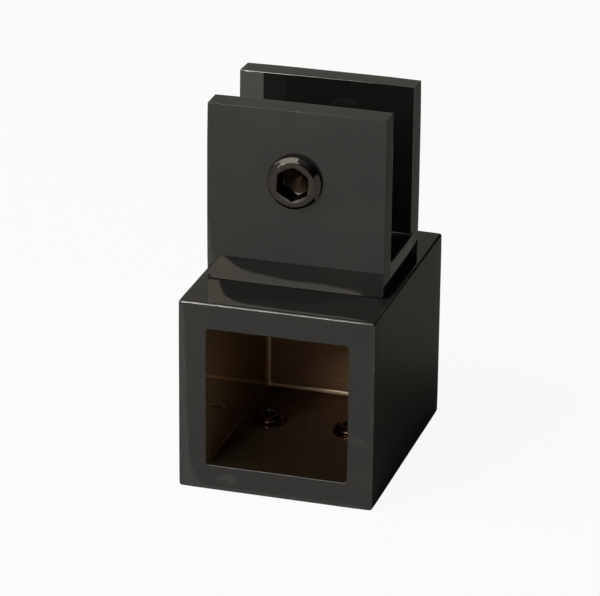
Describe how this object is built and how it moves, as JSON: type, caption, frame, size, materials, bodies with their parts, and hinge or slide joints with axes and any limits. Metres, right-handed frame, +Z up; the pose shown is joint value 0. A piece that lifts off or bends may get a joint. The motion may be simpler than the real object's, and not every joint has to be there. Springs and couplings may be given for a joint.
{
  "type": "glass panel clamp",
  "caption": "Glass panel clamp: a U-shaped channel with a hexagon-socket clamp screw and pressure pad, screwed on a square sleeve whose blind socket takes a square bar.",
  "frame": {"origin": "middle of the sleeve's underside", "axes": "+Z up from the sleeve to the open top of the glass slot; +Y from the bar socket's mouth to its blind end, which is also the way the clamp screw presses; +X to the right when looking into the mouth"},
  "size_m": [0.035, 0.045, 0.0672],
  "materials": {
    "sleeve_plating": "polished black nickel plating on brass; unpolished and bronze-brown inside the socket",
    "channel_plating": "polished black nickel plating on brass",
    "screw_plating": "black nickel plating on steel, brown inside the hexagon sockets",
    "pad_nylon": "black nylon, as turned"
  },
  "bodies": {
    "fitting": {"bar_sleeve": "sleeve_plating", "glass_channel": "channel_plating", "joining_screw": "screw_plating"},
    "pad": {"pressure_pad": "pad_nylon"},
    "clamp_screw": {"clamp_screw": "screw_plating"},
    "bar_screw_left": {"bar_screw_left": "screw_plating"},
    "bar_screw_right": {"bar_screw_right": "screw_plating"}
  },
  "joints": [
    {"name": "pad_slide", "type": "slide", "parent": "fitting", "child": "pad", "axis": [0, 1, 0], "range_m": [-0.001, 0.003]},
    {"name": "clamp_screw_turn", "type": "hinge", "parent": "pad", "child": "clamp_screw", "pos_m": [0, -0.0092, 0.0546], "axis": [0, 1, 0], "range_deg": [-240, 720]},
    {"name": "bar_screw_left_travel", "type": "slide", "parent": "fitting", "child": "bar_screw_left", "axis": [0, 0, 1], "range_m": [-0.0012, 0.0015]},
    {"name": "bar_screw_right_travel", "type": "slide", "parent": "fitting", "child": "bar_screw_right", "axis": [0, 0, 1], "range_m": [-0.0012, 0.0015]}
  ],
  "couplings": [
    {"joint": "pad_slide", "follows": "clamp_screw_turn", "m_per_rad": 0.00023873}
  ]
}
